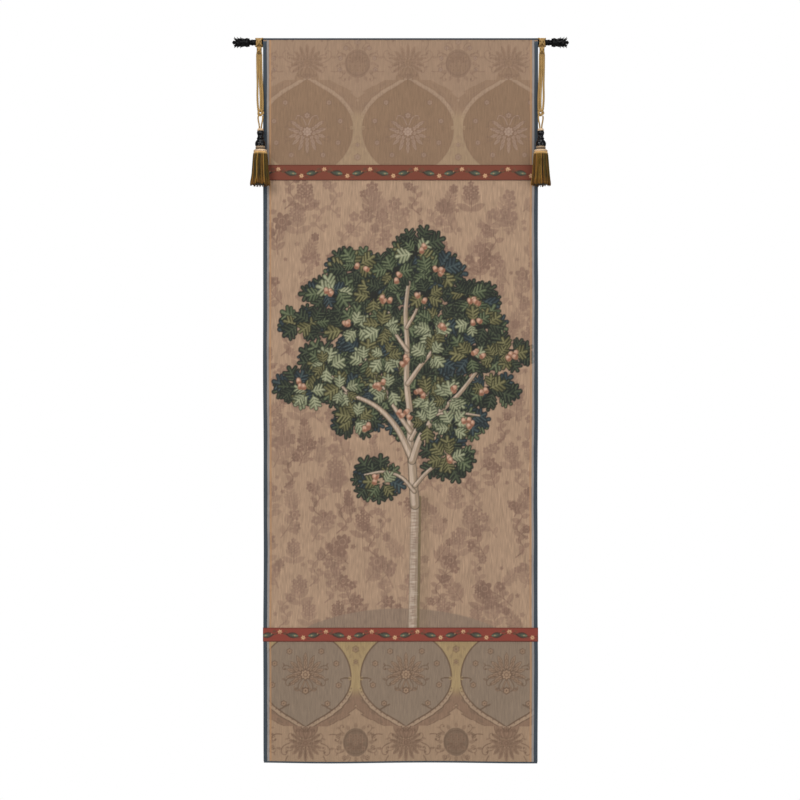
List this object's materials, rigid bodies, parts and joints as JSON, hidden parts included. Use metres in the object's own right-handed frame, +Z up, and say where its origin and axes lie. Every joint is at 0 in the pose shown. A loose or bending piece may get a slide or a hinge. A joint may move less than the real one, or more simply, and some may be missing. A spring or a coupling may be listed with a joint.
{
  "type": "tapestry wall hanging",
  "caption": "Tall woven tapestry on a round rod with leaf finials, gold cords and tassels, held by open hooks on wall plates.",
  "frame": {"origin": "on the wall plane at the rod's height, midway between the two brackets", "axes": "+Z up along the panel, +Y into the wall, +X to the right seen from the front; the front faces -Y"},
  "size_m": [0.8744, 0.1082, 1.8861],
  "materials": {
    "tapestry": "ribbed woven wool and cotton",
    "edge_tape": "slate blue tape",
    "red_ribbon": "woven floral ribbon",
    "lining": "plain cotton lining",
    "black_iron": "satin black",
    "zinc_steel": "zinc plated",
    "gold_cord": "twisted gold cord",
    "tassel_head": "black gloss lacquer",
    "fringe": "brown-gold fringe"
  },
  "bodies": {
    "wall_brackets": {"left_wall_plate": "black_iron", "left_bracket_arm": "black_iron", "right_wall_plate": "black_iron", "right_bracket_arm": "black_iron"},
    "cord_wraps": {"left_cord_wrap": "gold_cord", "right_cord_wrap": "gold_cord"},
    "rod": {"rod_tube": "black_iron", "left_rod_insert": "zinc_steel", "right_rod_insert": "zinc_steel"},
    "panel": {"tapestry_cloth": "tapestry", "lining_cloth": "lining", "left_edge_tape": "edge_tape", "right_edge_tape": "edge_tape", "top_edge_tape": "edge_tape", "bottom_edge_tape": "edge_tape", "upper_red_ribbon": "red_ribbon", "lower_red_ribbon": "red_ribbon", "rod_sleeve": "lining"},
    "left_finial": {"left_finial_stud": "zinc_steel", "left_finial_collar": "black_iron", "left_finial_leaf_cup": "black_iron", "left_finial_tip": "black_iron"},
    "left_cord": {"left_cord_binding": "gold_cord", "left_strand_outer": "gold_cord", "left_strand_middle": "gold_cord", "left_strand_inner": "gold_cord", "left_tassel_knot": "gold_cord"},
    "left_tassel": {"left_tassel_cord_outer": "gold_cord", "left_tassel_cord_inner": "gold_cord", "left_tassel_top_ring": "gold_cord", "left_tassel_head": "tassel_head", "left_tassel_bell": "tassel_head", "left_tassel_collar_ring": "gold_cord", "left_tassel_skirt": "fringe", "left_tassel_core": "gold_cord"},
    "right_finial": {"right_finial_stud": "zinc_steel", "right_finial_collar": "black_iron", "right_finial_leaf_cup": "black_iron", "right_finial_tip": "black_iron"},
    "right_cord": {"right_cord_binding": "gold_cord", "right_strand_outer": "gold_cord", "right_strand_middle": "gold_cord", "right_strand_inner": "gold_cord", "right_tassel_knot": "gold_cord"},
    "right_tassel": {"right_tassel_cord_outer": "gold_cord", "right_tassel_cord_inner": "gold_cord", "right_tassel_top_ring": "gold_cord", "right_tassel_head": "tassel_head", "right_tassel_bell": "tassel_head", "right_tassel_collar_ring": "gold_cord", "right_tassel_skirt": "fringe", "right_tassel_core": "gold_cord"}
  },
  "joints": [
    {"name": "lift_off", "type": "slide", "parent": "wall_brackets", "child": "cord_wraps", "axis": [0, 0, 1], "range_m": [0, 0.03]},
    {"name": "rod_roll", "type": "hinge", "parent": "cord_wraps", "child": "rod", "pos_m": [0, -0.045, 0], "axis": [1, 0, 0], "continuous": true},
    {"name": "panel_swing", "type": "hinge", "parent": "cord_wraps", "child": "panel", "pos_m": [0, -0.045, 0], "axis": [-1, 0, 0], "range_deg": [-0.7, 35]},
    {"name": "left_finial_turn", "type": "hinge", "parent": "rod", "child": "left_finial", "pos_m": [-0.383, -0.045, 0], "axis": [-1, 0, 0], "continuous": true},
    {"name": "right_finial_turn", "type": "hinge", "parent": "rod", "child": "right_finial", "pos_m": [0.383, -0.045, 0], "axis": [1, 0, 0], "continuous": true},
    {"name": "left_cord_swing", "type": "hinge", "parent": "panel", "child": "left_cord", "pos_m": [-0.3624, -0.045, 0], "axis": [-1, 0, 0], "range_deg": [0, 50]},
    {"name": "left_tassel_swing", "type": "hinge", "parent": "left_cord", "child": "left_tassel", "pos_m": [-0.3624, -0.06856, -0.18478], "axis": [0, -0.9999, -0.0166], "range_deg": [-30, 30]},
    {"name": "right_cord_swing", "type": "hinge", "parent": "panel", "child": "right_cord", "pos_m": [0.3624, -0.045, 0], "axis": [-1, 0, 0], "range_deg": [0, 50]},
    {"name": "right_tassel_swing", "type": "hinge", "parent": "right_cord", "child": "right_tassel", "pos_m": [0.3624, -0.06856, -0.18478], "axis": [0, -0.9999, -0.0166], "range_deg": [-30, 30]}
  ]
}
